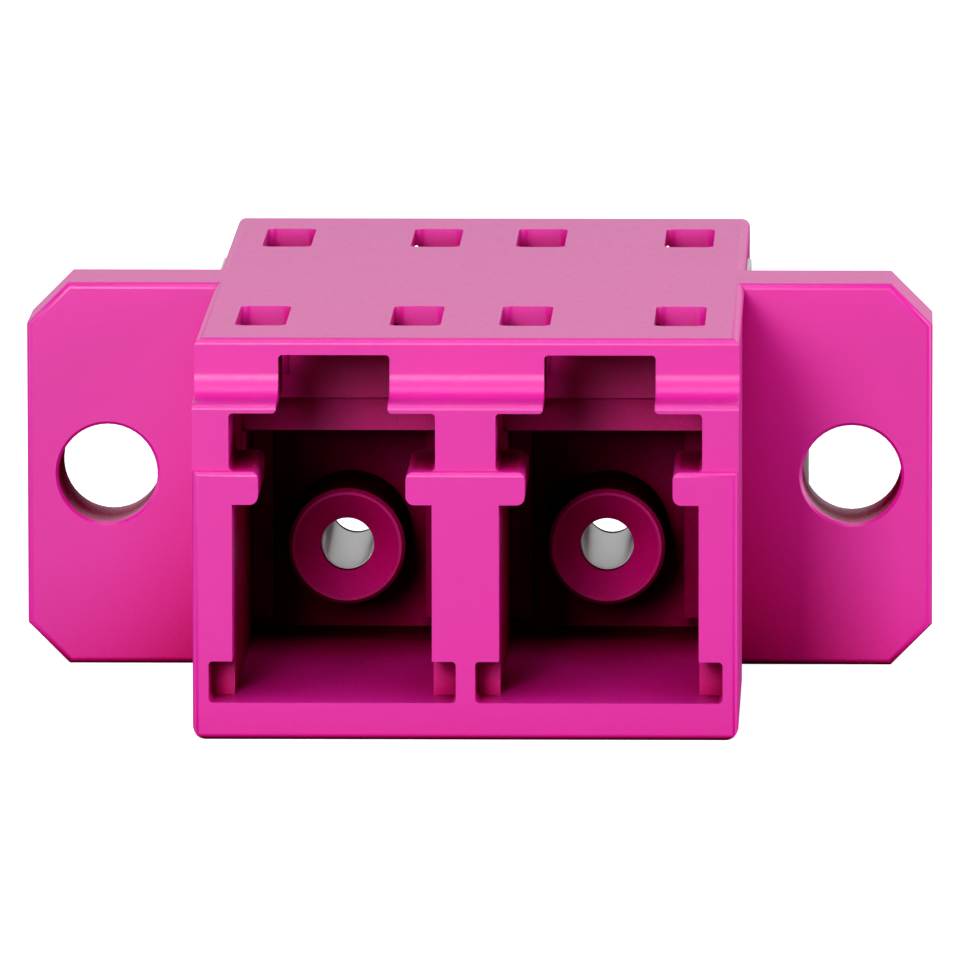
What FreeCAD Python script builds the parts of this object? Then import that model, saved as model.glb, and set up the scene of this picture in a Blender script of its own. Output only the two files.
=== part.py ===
import FreeCAD, Part
import math
import os

# ---------------------------------------------------------------- frame
# Millimetres.  +Z is up, -Y is the front (the ports that face the user),
# X runs across the two ports.  The origin is the middle of the bottom face,
# on the plane where the two moulded halves are welded together (Y = 0).

# ---------------------------------------------------------------- body
body_length = 28.0          # end face to end face, both halves
body_width = 12.8
body_height = 9.3
bottom_edge_r = 0.35        # long bottom edges
top_edge_r = 0.22           # long top edges
end_edge_r = 0.16           # edges of the end faces
half_length = body_length / 2.0

# ---------------------------------------------------------------- cut-back above the ports
lower_face_top = 6.35       # top of the proud lower part of the end face
lower_face_proud = 0.15     # how far it stands in front of the pillars
lower_face_edge_r = 0.135   # its top edge, never more than the step itself
ledge_z = 7.93              # ledge under the cut-back upper front
set_back = 1.6              # upper front stands this far behind the end face
cove_r = 0.55               # concave corner between ledge and upper front
upper_edge_r = 0.17

# ---------------------------------------------------------------- flange
flange_thickness = 2.9      # both halves together
flange_chamfer = 1.0        # cut corners
flange_edge_r = 0.16
hole_pitch = 18.0
hole_d = 2.4
hole_end = 1.95             # from a hole's centre to the end of the flange
flange_width = hole_pitch + 2.0 * hole_end
hole_rim = 0.07
half_flange = flange_thickness / 2.0
hole_z = body_height / 2.0

# ---------------------------------------------------------------- ports
port_pitch = 6.25
port_floor = 0.88
cavity_w = 4.68
cavity_top = 5.56
slot_w = 5.8                # key slots beside the floor, in the mouth of each port
slot_top = 1.86
slot_depth = 1.4
neck_w = 3.46               # gap between the two rails over the cavity
rail_top = 6.35
rail_length = 4.0
lug_w = 4.84                # passage for the two latch lugs
lug_top = 7.70
arm_w = 2.62                # passage for the latch arm
arm_roof = 0.4              # wall over the arm passage
arm_top = body_height - arm_roof
latch_end = 7.9             # end wall of the latch chamber, from the end face
latch_step_z = 7.1
latch_step = 0.3
roof_z = 6.28               # roof of the cavity behind the latch chamber
partition_half = 1.0        # partition between the ports, in each half
cavity_depth = half_length - partition_half    # partition face, from the end face
port_corner_r = 0.1
neck_corner_r = 0.2
stop_rib_w = 0.5            # ribs that stop the plug, each side of the port
stop_rib_depth = 1.0
stop_rib_gap = 0.35         # from the floor to the foot of each rib

# ---------------------------------------------------------------- latch windows
window_w = 1.21
window_x = 1.83             # from the port centre
shoulder_step = 0.05        # latch shoulder behind the end of the rails
window_start = rail_length + shoulder_step
window_r = 0.25

# ---------------------------------------------------------------- bosses and sleeves
axis_z = (port_floor + cavity_top) / 2.0
boss_d = 2.8
boss_base_d = 2.95
boss_rim = 0.08             # chamfer round the front of each boss
lead_in_d = 2.5
lead_in_depth = 0.4
lip_thickness = 0.3         # ring that keeps the sleeve in its pocket
lip_clearance = 0.015       # between the lip and a plug's ferrule
sleeve_length = 6.4
sleeve_od = 1.62
sleeve_id = 1.25
lip_d = sleeve_id + 2.0 * lip_clearance
sleeve_slot = 0.25
sleeve_chamfer = 0.06
pocket_clearance_r = 0.04   # round the free sleeve
pocket_clearance_l = 0.05   # at each end of the sleeve
pocket_r = sleeve_od / 2.0 + pocket_clearance_r
pocket_half = sleeve_length / 2.0 + pocket_clearance_l

# ---------------------------------------------------------------- core-outs and weld pegs
core_w = 3.6                # hollow over each boss, open at the weld plane
core_floor = 0.82           # wall under it
core_roof = 0.9             # wall over it
core_wall = 0.7             # wall between it and the latch chamber
core_z0 = roof_z + core_floor
core_z1 = body_height - core_roof
core_start = latch_end + latch_step + core_wall
peg_inset = 1.0             # from a screw hole's centre towards the body
peg_x = hole_pitch / 2.0 - peg_inset
peg_edge = 1.7              # from the bottom and from the top
peg_zs = (peg_edge, body_height - peg_edge)
peg_d = 1.0
peg_length = 0.6
peg_clearance = 0.05

# ---------------------------------------------------------------- panel clip
clip_sheet = 0.2
clip_proud = 0.1            # each side of the body
clip_width = 4.8            # along Y
clip_gap = 0.05             # between clip and groove ends
clip_drop = 0.3             # legs end this far under the top of the body
clip_top = body_height - clip_drop
groove_top = clip_top + clip_gap
clip_corner_r = 0.35
wing_height = 3.9           # cut-out for one wing, level with the screw holes
wing_z0 = hole_z - wing_height / 2.0
wing_z1 = hole_z + wing_height / 2.0
wing_slit = 0.15
wing_reach = 1.45           # of the wing's tip, outwards from the leg
wing_tip_x = body_width / 2.0 + clip_proud + wing_reach
wing_edge = 0.5             # strap left behind the wing's bend
wing_root = clip_width - wing_edge    # bend, from the flange-side edge of the clip
wing_tip = 1.3
wing_root_lap = 0.4         # how far the wing's sheet runs into the strap
wing_root_slit = 0.1        # how far the slits run past the bend
wing_tip_gap = 0.3          # open end of the cut-out past the wing's tip
wing_bend_r = 0.2           # hollow side of the bend
groove_depth_side = clip_sheet - clip_proud
groove_length = clip_width + 2.0 * clip_gap

over = 1.0                  # how far cutters run past a face
lap = 0.1                   # how far joined shapes reach into each other
near = 1e-4                 # two positions closer than this are the same


def vec(x, y, z):
    return FreeCAD.Vector(x, y, z)


def rounded_wire(points, place):
    """Closed wire through (u, v, r) points, each corner rounded by r."""
    count = len(points)
    edges = []
    starts = []
    ends = []
    mids = []
    for i in range(count):
        u, v, r = points[i]
        pu, pv, _ = points[i - 1]
        nu, nv, _ = points[(i + 1) % count]
        lp = math.hypot(pu - u, pv - v)
        ln = math.hypot(nu - u, nv - v)
        ap = ((pu - u) / lp, (pv - v) / lp)
        an = ((nu - u) / ln, (nv - v) / ln)
        if r <= 0.0:
            starts.append((u, v))
            ends.append((u, v))
            mids.append(None)
            continue
        half = math.acos(max(-1.0, min(1.0, ap[0] * an[0] + ap[1] * an[1]))) / 2.0
        run = r / math.tan(half)
        bis = (ap[0] + an[0], ap[1] + an[1])
        lb = math.hypot(bis[0], bis[1])
        reach = r / math.sin(half) - r
        starts.append((u + ap[0] * run, v + ap[1] * run))
        ends.append((u + an[0] * run, v + an[1] * run))
        mids.append((u + bis[0] / lb * reach, v + bis[1] / lb * reach))
    for i in range(count):
        if mids[i] is not None:
            edges.append(Part.Arc(place(*starts[i]), place(*mids[i]), place(*ends[i])).toShape())
        a = place(*ends[i])
        b = place(*starts[(i + 1) % count])
        if a.distanceToPoint(b) > near:
            edges.append(Part.LineSegment(a, b).toShape())
    return Part.Wire(edges)


def prism_y(points, y0, y1):
    """Solid with an (x, z, r) outline, from y0 to y1."""
    wire = rounded_wire(points, lambda u, v: vec(u, y0, v))
    return Part.Face(wire).extrude(vec(0, y1 - y0, 0))


def prism_x(points, x0, x1):
    """Solid with a (y, z, r) outline, from x0 to x1."""
    wire = rounded_wire(points, lambda u, v: vec(x0, u, v))
    return Part.Face(wire).extrude(vec(x1 - x0, 0, 0))


def prism_z(points, z0, z1):
    """Solid with an (x, y, r) outline, from z0 to z1."""
    wire = rounded_wire(points, lambda u, v: vec(u, v, z0))
    return Part.Face(wire).extrude(vec(0, 0, z1 - z0))


def box(x0, x1, y0, y1, z0, z1):
    return Part.makeBox(x1 - x0, y1 - y0, z1 - z0, vec(x0, y0, z0))


def rod_y(x, z, r, y0, y1):
    return Part.makeCylinder(r, y1 - y0, vec(x, y0, z), vec(0, 1, 0))


def cone_y(x, z, r0, r1, y0, y1):
    return Part.makeCone(r0, r1, y1 - y0, vec(x, y0, z), vec(0, 1, 0))


def at(depth):
    """Y of a plane this far behind the front end face."""
    return depth - half_length


# ---------------------------------------------------------------- front moulding, outside
def body_block():
    """Outer block of one half: three rounded outlines meet in it."""
    half_w = body_width / 2.0
    across = prism_y([
        (-half_w, 0, bottom_edge_r), (half_w, 0, bottom_edge_r),
        (half_w, body_height, top_edge_r), (-half_w, body_height, top_edge_r)],
        at(0), 0)
    front = at(0)
    pillar = at(lower_face_proud)
    upper = at(set_back)
    side = prism_x([
        (front, 0, end_edge_r), (front, lower_face_top, min(lower_face_edge_r, lower_face_proud)),
        (pillar, lower_face_top, 0), (pillar, ledge_z, end_edge_r),
        (upper, ledge_z, cove_r), (upper, body_height, upper_edge_r),
        (0, body_height, 0), (0, 0, 0)],
        -half_w - over, half_w + over)
    plan_low = prism_z([
        (-half_w, front, end_edge_r), (half_w, front, end_edge_r),
        (half_w, 0, 0), (-half_w, 0, 0)],
        -over, ledge_z)
    plan_high = prism_z([
        (-half_w, upper - cove_r, 0), (half_w, upper - cove_r, 0),
        (half_w, 0, 0), (-half_w, 0, 0)],
        ledge_z, body_height + over)
    plan = plan_low.fuse(plan_high)
    return across.common(side).common(plan)


def flange_half():
    """Half of the flange, front edges rounded, with its two screw holes."""
    w = flange_width / 2.0
    c = flange_chamfer
    plate = prism_y([
        (-w + c, 0, 0), (w - c, 0, 0), (w, c, 0), (w, body_height - c, 0),
        (w - c, body_height, 0), (-w + c, body_height, 0),
        (-w, body_height - c, 0), (-w, c, 0)],
        -half_flange, 0)
    rims = [e for e in plate.Edges if abs(e.BoundBox.YMin + half_flange) < near
            and abs(e.BoundBox.YMax + half_flange) < near]
    plate = plate.makeFillet(flange_edge_r, rims)
    for sign in (-1, 1):
        x = sign * hole_pitch / 2.0
        plate = plate.cut(rod_y(x, hole_z, hole_d / 2.0, -half_flange - over, over))
        flare = cone_y(x, hole_z, hole_d / 2.0 + hole_rim, hole_d / 2.0,
                       -half_flange, -half_flange + hole_rim)
        plate = plate.cut(flare)
    return plate


def clip_core():
    """Inside of the clip: what is left of the body in the clip groove."""
    half_w = body_width / 2.0 - groove_depth_side
    inner_r = clip_corner_r - clip_sheet
    y0 = -half_flange - groove_length
    return prism_y([
        (-half_w, clip_sheet, inner_r), (half_w, clip_sheet, inner_r),
        (half_w, body_height + over, 0), (-half_w, body_height + over, 0)],
        y0, -half_flange)


def clip_groove():
    """Shallow groove round the bottom and both sides, next to the flange."""
    half_w = body_width / 2.0 + over
    band = box(-half_w, half_w, -half_flange - groove_length, -half_flange, -over, groove_top)
    return band.cut(clip_core())


# ---------------------------------------------------------------- front moulding, inside
def port_cavity(x):
    """Plug space of one port with its two key slots at the floor of the mouth."""
    w = cavity_w / 2.0
    s = slot_w / 2.0
    r = port_corner_r
    main = box(x - w, x + w, at(-over), at(cavity_depth), port_floor, cavity_top)
    roof = box(x - w, x + w, at(rail_length), at(cavity_depth), cavity_top - lap, roof_z)
    slots = prism_y([
        (x - s, port_floor, r), (x + s, port_floor, r), (x + s, slot_top, r), (x - s, slot_top, r)],
        at(-over), at(slot_depth))
    return main.fuse([roof, slots])


def latch_way(x):
    """Neck, lug passage and arm passage over the rails of one port."""
    n = neck_w / 2.0
    g = lug_w / 2.0
    a = arm_w / 2.0
    r = port_corner_r
    entry = prism_y([
        (x - n, cavity_top - lap, 0), (x + n, cavity_top - lap, 0),
        (x + n, rail_top, neck_corner_r), (x + g, rail_top, r), (x + g, lug_top, r),
        (x + a, lug_top, r), (x + a, arm_top, r), (x - a, arm_top, r),
        (x - a, lug_top, r), (x - g, lug_top, r), (x - g, rail_top, r),
        (x - n, rail_top, neck_corner_r)],
        at(-over), at(rail_length))
    chamber = box(x - g, x + g, at(rail_length), at(latch_end), cavity_top - lap, lug_top)
    arm = box(x - a, x + a, at(rail_length), at(latch_end), lug_top, arm_top)
    step = box(x - g, x + g, at(latch_end), at(latch_end + latch_step), roof_z, latch_step_z)
    return entry.fuse([chamber, arm, step])


def rail_corner_fillers(x):
    """Rounded inner lower corners of the two rails."""
    w = cavity_w / 2.0
    n = neck_w / 2.0
    z = cavity_top
    r = neck_corner_r
    pieces = []
    for sign in (-1, 1):
        corner = box(min(x + sign * n, x + sign * (n + r)), max(x + sign * n, x + sign * (n + r)),
                     at(-over), at(rail_length), z, z + r)
        keep = rod_y(x + sign * (n + r), z + r, r, at(-over), at(rail_length))
        pieces.append(corner.cut(keep))
    return pieces


def windows(x):
    """Two windows over one port; their front ends are the latch shoulders."""
    cuts = []
    for sign in (-1, 1):
        c = x + sign * window_x
        cuts.append(prism_z([
            (c - window_w / 2.0, at(window_start), window_r),
            (c + window_w / 2.0, at(window_start), window_r),
            (c + window_w / 2.0, at(latch_end), window_r),
            (c - window_w / 2.0, at(latch_end), window_r)],
            lug_top - lap, body_height + over))
    return cuts


def boss(x):
    """Tapered boss that holds half of one sleeve."""
    y0 = -pocket_half - lip_thickness - lead_in_depth
    y1 = at(cavity_depth)
    r0 = boss_d / 2.0
    solid = cone_y(x, axis_z, r0, boss_base_d / 2.0, y0, y1 + lap)
    rim = [e for e in solid.Edges if abs(e.BoundBox.YMin - y0) < near
           and abs(e.BoundBox.YMax - y0) < near]
    return solid.makeChamfer(boss_rim, rim)


def boss_bore(x):
    """Lead-in, lip and sleeve pocket of one boss."""
    y0 = -pocket_half - lip_thickness - lead_in_depth
    y1 = y0 + lead_in_depth
    lead = cone_y(x, axis_z, lead_in_d / 2.0, lip_d / 2.0, y0, y1)
    mouth = rod_y(x, axis_z, lead_in_d / 2.0, y0 - over, y0)
    lip = rod_y(x, axis_z, lip_d / 2.0, y1, 0)
    pocket = rod_y(x, axis_z, pocket_r, -pocket_half, over)
    return lead.fuse([mouth, lip, pocket])


def stop_ribs(x):
    """Ribs beside the partition of one port, clear of the floor."""
    w = cavity_w / 2.0
    ribs = []
    for sign in (-1, 1):
        xs = sorted((x + sign * (w - stop_rib_w), x + sign * (w + lap)))
        ribs.append(box(xs[0], xs[1], at(cavity_depth - stop_rib_depth), at(cavity_depth + lap),
                        port_floor + stop_rib_gap, roof_z + lap))
    return ribs


def core_out(x):
    """Hollow over one boss, so the moulding keeps an even wall."""
    return box(x - core_w / 2.0, x + core_w / 2.0, at(core_start), over, core_z0, core_z1)


def pegs():
    return [rod_y(peg_x, z, peg_d / 2.0, -lap, peg_length) for z in peg_zs]


def sockets():
    r = peg_d / 2.0 + peg_clearance
    return [rod_y(-peg_x, z, r, -peg_length - peg_clearance, over) for z in peg_zs]


def front_moulding():
    """One moulded half; the rear half is the same moulding turned round."""
    shape = body_block().fuse(flange_half())
    shape = shape.cut(clip_groove())
    for sign in (-1, 1):
        x = sign * port_pitch / 2.0
        shape = shape.cut([port_cavity(x), latch_way(x)] + windows(x) + rail_corner_fillers(x))
        shape = shape.fuse([boss(x)] + stop_ribs(x))
        shape = shape.cut([boss_bore(x), core_out(x)])
    shape = shape.fuse(pegs())
    shape = shape.cut(sockets())
    return shape.removeSplitter()


# ---------------------------------------------------------------- sleeves and clip
def sleeve(x):
    """Split alignment sleeve, slot upwards, centred in its pocket."""
    z = axis_z
    y0 = -sleeve_length / 2.0
    y1 = sleeve_length / 2.0
    tube = rod_y(x, z, sleeve_od / 2.0, y0, y1)
    tube = tube.cut(rod_y(x, z, sleeve_id / 2.0, y0 - over, y1 + over))
    flare = sleeve_id / 2.0 + sleeve_chamfer
    tube = tube.cut(cone_y(x, z, flare, sleeve_id / 2.0, y0, y0 + sleeve_chamfer))
    tube = tube.cut(cone_y(x, z, sleeve_id / 2.0, flare, y1 - sleeve_chamfer, y1))
    slot = box(x - sleeve_slot / 2.0, x + sleeve_slot / 2.0, y0 - over, y1 + over, z, z + sleeve_od)
    return tube.cut(slot)


def wing(sign, y0):
    """Spring wing cut from one leg and bent out towards the flange."""
    x_out = body_width / 2.0 + clip_proud
    x_in = x_out - clip_sheet
    root = y0 + wing_root
    tip = y0 + wing_tip
    run = math.hypot(wing_tip_x - x_out, root - tip)
    nx = (root - tip) / run * clip_sheet
    ny = (wing_tip_x - x_out) / run * clip_sheet
    bend = math.atan2(wing_tip_x - x_out, root - tip)
    inner_root = root - clip_sheet * math.tan(bend / 2.0)
    outline = [
        (x_out, root + wing_root_lap, 0), (x_in, root + wing_root_lap, 0),
        (x_in, inner_root, wing_bend_r + clip_sheet),
        (wing_tip_x - nx, tip - ny, 0), (wing_tip_x, tip, 0), (x_out, root, wing_bend_r)]
    points = [(sign * u, v, r) for u, v, r in outline]
    return prism_z(points, wing_z0 + wing_slit, wing_z1 - wing_slit)


def panel_clip():
    """Spring steel strap round the bottom and sides behind the flange."""
    x_out = body_width / 2.0 + clip_proud
    x_in = x_out - clip_sheet
    y0 = half_flange + clip_gap
    y1 = y0 + clip_width
    inner_r = clip_corner_r - clip_sheet
    strap = prism_y([
        (-x_out, 0, clip_corner_r), (x_out, 0, clip_corner_r),
        (x_out, clip_top, 0), (x_in, clip_top, 0), (x_in, clip_sheet, inner_r),
        (-x_in, clip_sheet, inner_r), (-x_in, clip_top, 0), (-x_out, clip_top, 0)],
        y0, y1)
    for sign in (-1, 1):
        xs = sorted((sign * (x_in - over), sign * (x_out + over)))
        gap = box(xs[0], xs[1], y0 + wing_tip - wing_tip_gap, y0 + wing_root + wing_root_slit,
                  wing_z0, wing_z1)
        strap = strap.cut(gap)
        strap = strap.fuse(wing(sign, y0))
    return strap.removeSplitter()


def save(shape, node):
    shape.exportStep("parts/" + node + ".step")


def main():
    os.makedirs("parts", exist_ok=True)
    front = front_moulding()
    rear = front.copy()
    rear.rotate(vec(0, 0, 0), vec(0, 0, 1), 180)
    save(front, "front_housing")
    save(rear, "rear_housing")
    save(sleeve(-port_pitch / 2.0), "sleeve_left")
    save(sleeve(port_pitch / 2.0), "sleeve_right")
    save(panel_clip(), "panel_clip")


main()
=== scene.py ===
import math

import bmesh
import bpy
from mathutils import Matrix, Vector


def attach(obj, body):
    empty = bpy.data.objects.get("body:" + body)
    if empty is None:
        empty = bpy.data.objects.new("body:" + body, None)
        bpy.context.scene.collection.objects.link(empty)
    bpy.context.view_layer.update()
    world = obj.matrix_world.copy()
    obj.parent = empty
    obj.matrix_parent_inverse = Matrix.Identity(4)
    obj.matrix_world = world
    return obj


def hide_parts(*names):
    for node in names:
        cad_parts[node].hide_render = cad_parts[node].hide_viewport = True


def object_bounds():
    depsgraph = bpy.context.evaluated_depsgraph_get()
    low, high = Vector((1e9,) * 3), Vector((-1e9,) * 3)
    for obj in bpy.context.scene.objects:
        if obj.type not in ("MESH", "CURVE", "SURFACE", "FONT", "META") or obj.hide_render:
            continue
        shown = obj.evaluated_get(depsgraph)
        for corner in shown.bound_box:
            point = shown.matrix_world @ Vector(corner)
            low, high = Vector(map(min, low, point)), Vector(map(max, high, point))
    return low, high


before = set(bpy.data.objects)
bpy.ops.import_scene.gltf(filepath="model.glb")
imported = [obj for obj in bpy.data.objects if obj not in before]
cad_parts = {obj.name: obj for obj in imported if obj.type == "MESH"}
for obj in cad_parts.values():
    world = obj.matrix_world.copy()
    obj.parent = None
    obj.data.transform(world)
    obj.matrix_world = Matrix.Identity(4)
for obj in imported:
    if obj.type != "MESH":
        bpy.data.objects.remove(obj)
cad_low, cad_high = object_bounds()

# ---- Moulded housing
# Two identical halves of glass-filled polyester, injection moulded in violet-pink and
# welded back to back by ultrasound. Their edges have the small radius of the mould, and
# the halves meet flush, with no radius, on the weld plane.
MM = 0.001
MOULD_RADIUS = 0.04 * MM
SHARP_ANGLE = math.radians(32.0)
FLAT_ANGLE = math.radians(0.4)
CREASE_ANGLE = math.radians(50.0)
MERGE = 0.0005 * MM
PLASTIC_TINTS = ((0.0, (0.600, 0.002, 0.285, 1.0)), (1.0, (0.650, 0.003, 0.310, 1.0)))
PLASTIC_ROUGHNESS = (0.34, 0.46)
FLOW_SCALE = 260.0
GRAIN_SCALE = 5500.0
GRAIN_DEPTH = 0.01 * MM
# Painted shade in recesses: how far round the occlusion looks, and the colour kept at each share of open
# surroundings, from near black deep inside to full colour in the open.
PAINTED_SHADE_REACH = 6.0 * MM
PAINTED_RECESS_SHADES = (
    (0.00, (0.02, 0.00, 0.00, 1.0)),
    (0.15, (0.20, 0.02, 0.05, 1.0)),
    (0.30, (0.72, 0.08, 0.28, 1.0)),
    (0.42, (0.95, 0.50, 0.75, 1.0)),
    (0.58, (1.00, 1.00, 1.00, 1.0)),
)


def node(tree, kind, **values):
    """Adds a shader or geometry node and sets its properties."""
    made = tree.nodes.new(kind)
    for name, value in values.items():
        setattr(made, name, value)
    return made


def empty_tree(owner):
    """The cleared node tree of a material or a world."""
    owner.use_nodes = True
    owner.node_tree.nodes.clear()
    return owner.node_tree


def new_material(name):
    """A new material, with its node tree and its one Principled shader."""
    material = bpy.data.materials.new(name)
    tree = empty_tree(material)
    shader = node(tree, "ShaderNodeBsdfPrincipled")
    out = node(tree, "ShaderNodeOutputMaterial")
    tree.links.new(shader.outputs["BSDF"], out.inputs["Surface"])
    return material, tree, shader


def noise(tree, place, scale, detail):
    """Noise on the given coordinates, as a value from 0 to 1."""
    made = node(tree, "ShaderNodeTexNoise")
    made.inputs["Scale"].default_value = scale
    made.inputs["Detail"].default_value = detail
    tree.links.new(place, made.inputs["Vector"])
    return made.outputs["Fac"]


def between(tree, value, low, high, start=0.0, end=1.0):
    """Value that runs from low to high while another runs from start to end."""
    made = node(tree, "ShaderNodeMapRange")
    for name, number in (("From Min", start), ("From Max", end), ("To Min", low), ("To Max", high)):
        made.inputs[name].default_value = number
    tree.links.new(value, made.inputs["Value"])
    return made.outputs["Result"]


def ramp(tree, value, stops):
    """Colour that follows a value through its stops, each a place from 0 to 1 and a colour."""
    made = node(tree, "ShaderNodeValToRGB")
    elements = made.color_ramp.elements
    for place, _ in stops[1:-1]:
        elements.new(place)
    for element, (place, colour) in zip(elements, stops):
        element.position = place
        element.color = colour
    tree.links.new(value, made.inputs["Fac"])
    return made.outputs["Color"]


def on_weld_plane(edge):
    """True for an edge that lies on the plane between the two halves."""
    return all(abs(vert.co.y) < MERGE for vert in edge.verts)


def plain_mesh(piece):
    """Turns an object's modifiers into its plain mesh."""
    graph = bpy.context.evaluated_depsgraph_get()
    mesh = bpy.data.meshes.new_from_object(piece.evaluated_get(graph), depsgraph=graph)
    piece.modifiers.clear()
    piece.data = mesh


def set_flat_normals(mesh, crease):
    """Corner normals weighted by face area, so that flats stay flat beside roundings."""
    around = [[] for _ in mesh.vertices]
    for face in mesh.polygons:
        for vert in face.vertices:
            around[vert].append(face.index)
    facing = [face.normal.copy() for face in mesh.polygons]
    area = [face.area for face in mesh.polygons]
    least = math.cos(crease)
    corners = [None] * len(mesh.loops)
    for face in mesh.polygons:
        own = facing[face.index]
        for loop in face.loop_indices:
            total = Vector((0.0, 0.0, 0.0))
            for other in around[mesh.loops[loop].vertex_index]:
                if facing[other].dot(own) > least:
                    total += facing[other] * area[other]
            corners[loop] = total.normalized() if total.length > 0.0 else own
    mesh.normals_split_custom_set(corners)


def finished_copy(name, cad_node, radius, keep_sharp=None):
    """Merged copy of a CAD node, its flats whole again and its sharp edges rounded."""
    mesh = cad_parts[cad_node].data.copy()
    mesh.materials.clear()
    work = bmesh.new()
    work.from_mesh(mesh)
    bmesh.ops.remove_doubles(work, verts=work.verts, dist=MERGE)
    bmesh.ops.dissolve_limit(work, angle_limit=FLAT_ANGLE, verts=work.verts, edges=work.edges)
    for face in work.faces:
        face.smooth = True
    weight = work.edges.layers.float.new("bevel_weight_edge")
    for edge in work.edges:
        if edge.calc_face_angle(0.0) > SHARP_ANGLE and not (keep_sharp and keep_sharp(edge)):
            edge[weight] = 1.0
    work.to_mesh(mesh)
    work.free()
    piece = bpy.data.objects.new(name, mesh)
    bpy.context.collection.objects.link(piece)
    rounding = piece.modifiers.new("rounding", "BEVEL")
    rounding.width = radius
    rounding.segments = 2
    rounding.limit_method = "WEIGHT"
    rounding.use_clamp_overlap = True
    plain_mesh(piece)
    set_flat_normals(piece.data, CREASE_ANGLE)
    return piece


plastic, tree, shader = new_material("violet_pink_plastic")
place = node(tree, "ShaderNodeTexCoord").outputs["Object"]
tint = ramp(tree, noise(tree, place, FLOW_SCALE, 2.0), PLASTIC_TINTS)
grain = noise(tree, place, GRAIN_SCALE, 3.0)
relief = node(tree, "ShaderNodeBump")
relief.inputs["Strength"].default_value = 0.22
relief.inputs["Distance"].default_value = GRAIN_DEPTH
tree.links.new(grain, relief.inputs["Height"])
tree.links.new(relief.outputs["Normal"], shader.inputs["Normal"])
tree.links.new(between(tree, grain, *PLASTIC_ROUGHNESS), shader.inputs["Roughness"])
# Painted shade: recesses are darkened in colour and dulled in gloss by how closed in they are, read by
# ambient occlusion, in place of the shade that falls into them.
closeness = node(tree, "ShaderNodeAmbientOcclusion", samples=8)
closeness.inputs["Distance"].default_value = PAINTED_SHADE_REACH
openness = closeness.outputs["AO"]
shade = node(tree, "ShaderNodeVectorMath", operation="MULTIPLY")
tree.links.new(tint, shade.inputs[0])
tree.links.new(ramp(tree, openness, PAINTED_RECESS_SHADES), shade.inputs[1])
tree.links.new(shade.outputs["Vector"], shader.inputs["Base Color"])
# Painted shade on the gloss as well: the specular level falls in closed-in places.
painted_recess_dulling = between(tree, openness, 0.0, 0.50, start=0.25, end=0.60)
tree.links.new(painted_recess_dulling, shader.inputs["Specular IOR Level"])

for cad_node in ("front_housing", "rear_housing"):
    half = finished_copy(cad_node + "_moulding", cad_node, MOULD_RADIUS, on_weld_plane)
    half.data.materials.append(plastic)
    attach(half, "root")
    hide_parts(cad_node)

# ---- Alignment sleeves
# Split tubes of white zirconia, ground inside and out and chamfered at both ends. One
# lies loose in the bosses between each front port and its rear one, slot upwards.
SLEEVE_SIZES = {
    "Outer Radius": 0.81 * MM,
    "Inner Radius": 0.625 * MM,
    "Length": 6.4 * MM,
    "Slot Width": 0.25 * MM,
    "End Chamfer": 0.06 * MM,
}
SLEEVE_STEPS = 72
SLEEVE_PITCH = 6.25 * MM
SLEEVE_HEIGHT = 3.22 * MM
ZIRCONIA_ROUGHNESS = (0.22, 0.28)
LAPPING_SCALE = 5200.0

ceramic, tree, shader = new_material("ground_zirconia")
place = node(tree, "ShaderNodeTexCoord").outputs["Object"]
lapping = noise(tree, place, LAPPING_SCALE, 2.0)
tree.links.new(between(tree, lapping, *ZIRCONIA_ROUGHNESS), shader.inputs["Roughness"])
# The colour is near white with a slight pink painted in, which stands for bounce light from the plastic
# round the sleeve.
shader.inputs["Base Color"].default_value = (0.80, 0.74, 0.76, 1.0)
shader.inputs["IOR"].default_value = 2.15


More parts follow.
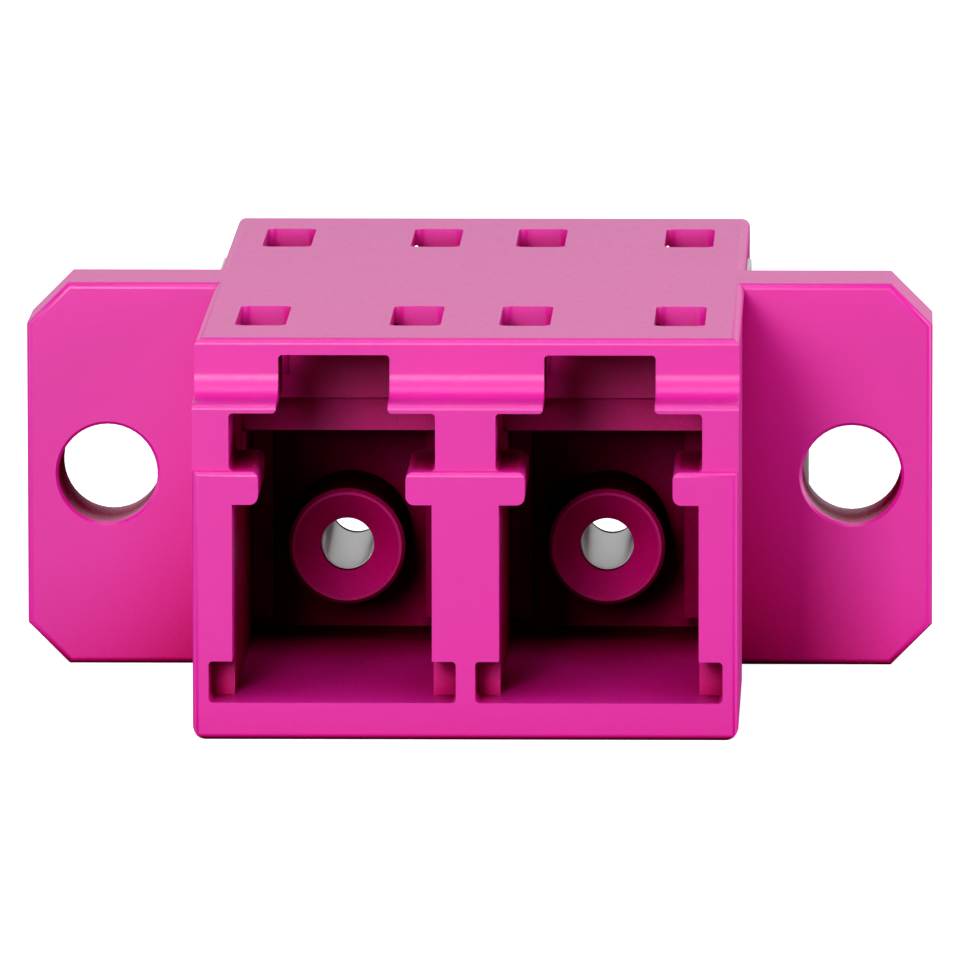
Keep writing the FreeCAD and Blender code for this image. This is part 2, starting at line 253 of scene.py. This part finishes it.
def sleeve_tree():
    """Node tree that turns the section of a tube wall round an axis, slot upwards."""
    tree = bpy.data.node_groups.new("split_sleeve", "GeometryNodeTree")
    for name in SLEEVE_SIZES:
        tree.interface.new_socket(name, in_out="INPUT", socket_type="NodeSocketFloat")
    tree.interface.new_socket("Centre", in_out="INPUT", socket_type="NodeSocketVector")
    tree.interface.new_socket("Geometry", in_out="OUTPUT", socket_type="NodeSocketGeometry")
    given = node(tree, "NodeGroupInput").outputs
    link = tree.links.new

    def worked_out(operation, *values):
        """One maths node, its inputs linked or set."""
        made = node(tree, "ShaderNodeMath", operation=operation)
        for socket, value in zip(made.inputs, values):
            if isinstance(value, float):
                socket.default_value = value
            else:
                link(value, socket)
        return made.outputs[0]

    outer, inner = given["Outer Radius"], given["Inner Radius"]
    middle_radius = worked_out("MULTIPLY", worked_out("ADD", outer, inner), 0.5)
    half_slot = worked_out("MULTIPLY", given["Slot Width"], 0.5)
    half_gap = worked_out("ARCSINE", worked_out("DIVIDE", half_slot, middle_radius))
    arc = node(tree, "GeometryNodeCurveArc", mode="RADIUS")
    arc.inputs["Resolution"].default_value = SLEEVE_STEPS + 1
    link(middle_radius, arc.inputs["Radius"])
    link(worked_out("ADD", half_gap, math.pi / 2.0), arc.inputs["Start Angle"])
    whole_gap = worked_out("MULTIPLY", half_gap, 2.0)
    link(worked_out("SUBTRACT", 2.0 * math.pi, whole_gap), arc.inputs["Sweep Angle"])
    upright = node(tree, "GeometryNodeSetCurveNormal", mode="Z_UP")
    link(arc.outputs["Curve"], upright.inputs["Curve"])
    wall = node(tree, "GeometryNodeCurvePrimitiveQuadrilateral", mode="RECTANGLE")
    link(worked_out("SUBTRACT", outer, inner), wall.inputs["Width"])
    link(given["Length"], wall.inputs["Height"])
    corners = node(tree, "GeometryNodeFilletCurve", mode="POLY")
    corners.inputs["Count"].default_value = 1
    link(wall.outputs["Curve"], corners.inputs["Curve"])
    link(given["End Chamfer"], corners.inputs["Radius"])
    tube = node(tree, "GeometryNodeCurveToMesh")
    tube.inputs["Fill Caps"].default_value = True
    link(upright.outputs["Curve"], tube.inputs["Curve"])
    link(corners.outputs["Curve"], tube.inputs["Profile Curve"])
    lay = node(tree, "GeometryNodeTransform")
    lay.inputs["Rotation"].default_value = (math.pi / 2.0, 0.0, 0.0)
    link(tube.outputs["Mesh"], lay.inputs["Geometry"])
    link(given["Centre"], lay.inputs["Translation"])
    whole = node(tree, "GeometryNodeRealizeInstances")
    link(lay.outputs["Geometry"], whole.inputs["Geometry"])
    finish = node(tree, "GeometryNodeSetMaterial")
    finish.inputs["Material"].default_value = ceramic
    link(whole.outputs["Geometry"], finish.inputs["Geometry"])
    out = node(tree, "NodeGroupOutput")
    link(finish.outputs["Geometry"], out.inputs["Geometry"])
    return tree


def made_by_tree(name, tree, values):
    """Plain mesh object made by a geometry node tree with the given input values."""
    maker = bpy.data.objects.new(name, bpy.data.meshes.new(name + "_start"))
    bpy.context.collection.objects.link(maker)
    nodes = maker.modifiers.new("rule", "NODES")
    nodes.node_group = tree
    inputs = [item for item in tree.interface.items_tree if item.in_out == "INPUT"]
    sockets = {item.name: item.identifier for item in inputs}
    for key, value in values.items():
        nodes[sockets[key]] = value
    plain_mesh(maker)
    return maker


split_sleeve = sleeve_tree()
for side, cad_node in ((-1.0, "sleeve_left"), (1.0, "sleeve_right")):
    centre = (side * SLEEVE_PITCH / 2.0, 0.0, SLEEVE_HEIGHT)
    tube = made_by_tree(cad_node + "_tube", split_sleeve, dict(SLEEVE_SIZES, Centre=centre))
    work = bmesh.new()
    work.from_mesh(tube.data)
    bmesh.ops.remove_doubles(work, verts=work.verts, dist=MERGE)
    bmesh.ops.recalc_face_normals(work, faces=work.faces)
    for face in work.faces:
        face.smooth = True
    work.to_mesh(tube.data)
    work.free()
    set_flat_normals(tube.data, SHARP_ANGLE)
    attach(tube, "root")
    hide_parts(cad_node)

# ---- Panel clip
# Strip of spring steel, blanked, bent round the bottom and sides behind the flange and
# pressed on. Two sprung wings grip the panel.
CLIP_EDGE_RADIUS = 0.02 * MM
STEEL_ROUGHNESS = (0.22, 0.42)
ROLLING_SCALE = (900.0, 14000.0, 900.0)

steel, tree, shader = new_material("rolled_spring_steel")
stretch = node(tree, "ShaderNodeMapping")
stretch.inputs["Scale"].default_value = ROLLING_SCALE
tree.links.new(node(tree, "ShaderNodeTexCoord").outputs["Object"], stretch.inputs["Vector"])
rolling = noise(tree, stretch.outputs["Vector"], 1.0, 4.0)
tree.links.new(between(tree, rolling, *STEEL_ROUGHNESS), shader.inputs["Roughness"])
shader.inputs["Base Color"].default_value = (0.46, 0.45, 0.44, 1.0)
shader.inputs["Metallic"].default_value = 1.0

strap = finished_copy("panel_clip_strap", "panel_clip", CLIP_EDGE_RADIUS)
strap.data.materials.append(steel)
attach(strap, "root")
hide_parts("panel_clip")

# ---- Camera
# A long lens in front, a little above and to the right of the part.
CAMERA_AWAY = 365.8 * MM
CAMERA_RIGHT = 10.25 * MM
CAMERA_UP = 54.38 * MM
YAW = math.radians(-1.5503)
PITCH = math.radians(-7.5067)
ROLL = math.radians(-0.0853)
SENSOR_WIDTH = 36.0
LENS_TO_SENSOR = 16.439

forward = Vector((math.cos(PITCH) * math.sin(YAW), math.cos(PITCH) * math.cos(YAW), math.sin(PITCH)))
level_right = Vector((math.cos(YAW), -math.sin(YAW), 0.0))
level_up = level_right.cross(forward)
right = level_right * math.cos(ROLL) + level_up * math.sin(ROLL)
up = level_up * math.cos(ROLL) - level_right * math.sin(ROLL)
camera = bpy.data.objects.new("camera", bpy.data.cameras.new("camera"))
camera.data.sensor_width = SENSOR_WIDTH
camera.data.lens = SENSOR_WIDTH * LENS_TO_SENSOR
camera.data.clip_start = 10.0 * MM
camera.data.clip_end = 20.0
turn = Matrix((right, up, -forward)).transposed()
stand = Matrix.Translation((CAMERA_RIGHT, cad_low.y - CAMERA_AWAY, CAMERA_UP))
camera.matrix_world = stand @ turn.to_4x4()
bpy.context.collection.objects.link(camera)
bpy.context.scene.camera = camera

# ---- Floor and backdrop
# Sheet of pale paper under the part and a white one hung far behind it. The floor looks
# white where the lamps reach it, keeps the part's shadow, and throws little light back.
PAPER_REACH = 1.6
BACKDROP_AWAY = 0.9
BACKDROP_TOP = 1.5
BACKDROP_GLOW = 0.9
FLOOR_PALE = 0.80
FLOOR_LIFT = 0.80
FLOOR_BOUNCE = 0.15


def paper_sheet(name, corners, material):
    """One flat sheet that isn't part of the object."""
    mesh = bpy.data.meshes.new(name)
    mesh.from_pydata(corners, [], [(0, 1, 2, 3)])
    made = bpy.data.objects.new(name, mesh)
    made.data.materials.append(material)
    bpy.context.collection.objects.link(made)


floor_paper = bpy.data.materials.new("floor_paper")
tree = empty_tree(floor_paper)
to_camera = node(tree, "ShaderNodeLightPath").outputs["Is Camera Ray"]
matt = node(tree, "ShaderNodeBsdfDiffuse")
white = node(tree, "ShaderNodeEmission")
both = node(tree, "ShaderNodeAddShader")
out = node(tree, "ShaderNodeOutputMaterial")
tree.links.new(between(tree, to_camera, FLOOR_BOUNCE, FLOOR_PALE), matt.inputs["Color"])
tree.links.new(between(tree, to_camera, 0.0, FLOOR_LIFT), white.inputs["Strength"])
tree.links.new(matt.outputs[0], both.inputs[0])
tree.links.new(white.outputs[0], both.inputs[1])
tree.links.new(both.outputs[0], out.inputs["Surface"])
floor_corners = [(-PAPER_REACH, -PAPER_REACH, cad_low.z), (PAPER_REACH, -PAPER_REACH, cad_low.z),
                 (PAPER_REACH, PAPER_REACH, cad_low.z), (-PAPER_REACH, PAPER_REACH, cad_low.z)]
paper_sheet("floor", floor_corners, floor_paper)

hung_paper = bpy.data.materials.new("backdrop_paper")
tree = empty_tree(hung_paper)
to_matt = node(tree, "ShaderNodeLightPath").outputs["Is Diffuse Ray"]
white = node(tree, "ShaderNodeEmission")
out = node(tree, "ShaderNodeOutputMaterial")
tree.links.new(between(tree, to_matt, 1.0, BACKDROP_GLOW), white.inputs["Strength"])
tree.links.new(white.outputs[0], out.inputs["Surface"])
backdrop_corners = [(-PAPER_REACH, BACKDROP_AWAY, cad_low.z), (-PAPER_REACH, BACKDROP_AWAY, BACKDROP_TOP),
                    (PAPER_REACH, BACKDROP_AWAY, BACKDROP_TOP), (PAPER_REACH, BACKDROP_AWAY, cad_low.z)]
paper_sheet("backdrop", backdrop_corners, hung_paper)

# ---- Lamps
# Six soft boxes: one low in front, one over the top, and a weak one between them that
# shows the round corner of each step. One lights the right side and two weaker ones the
# left. The white room round them adds almost no light.
middle = (cad_low + cad_high) / 2.0
LAMP_AWAY = 300.0 * MM
ROOM_FILL = 0.02


def soft_box(name, turn_deg, rise_deg, width_mm, height_mm, watts):
    """Area light aimed at the middle of the part, turned about it from the front."""
    turned, risen = math.radians(turn_deg), math.radians(rise_deg)
    data = bpy.data.lights.new(name, "AREA")
    data.shape = "RECTANGLE"
    data.size = width_mm * MM
    data.size_y = height_mm * MM
    data.energy = watts
    lamp = bpy.data.objects.new(name, data)
    away = Vector((math.sin(turned) * math.cos(risen), -math.cos(turned) * math.cos(risen), math.sin(risen)))
    lamp.location = middle + away * LAMP_AWAY
    lamp.rotation_euler = (-away).to_track_quat("-Z", "Y").to_euler()
    bpy.context.collection.objects.link(lamp)


soft_box("strip_box", -10.0, 15.0, 52.0, 80.0, 0.60)
soft_box("top_box", -8.0, 73.0, 80.0, 190.0, 0.28)
soft_box("step_box", -8.0, 40.0, 60.0, 90.0, 0.09)
soft_box("left_box", -75.0, 8.0, 100.0, 100.0, 0.26)
soft_box("near_left_box", -45.0, 12.0, 80.0, 80.0, 0.12)
soft_box("right_box", 75.0, 14.0, 100.0, 150.0, 0.68)

world = bpy.data.worlds.new("studio")
tree = empty_tree(world)
to_camera = node(tree, "ShaderNodeLightPath").outputs["Is Camera Ray"]
room = node(tree, "ShaderNodeBackground")
room.inputs["Color"].default_value = (1.0, 1.0, 1.0, 1.0)
out = node(tree, "ShaderNodeOutputWorld")
tree.links.new(between(tree, to_camera, ROOM_FILL, 1.0), room.inputs["Strength"])
tree.links.new(room.outputs[0], out.inputs["Surface"])
bpy.context.scene.world = world
bpy.context.scene.view_settings.view_transform = "Standard"
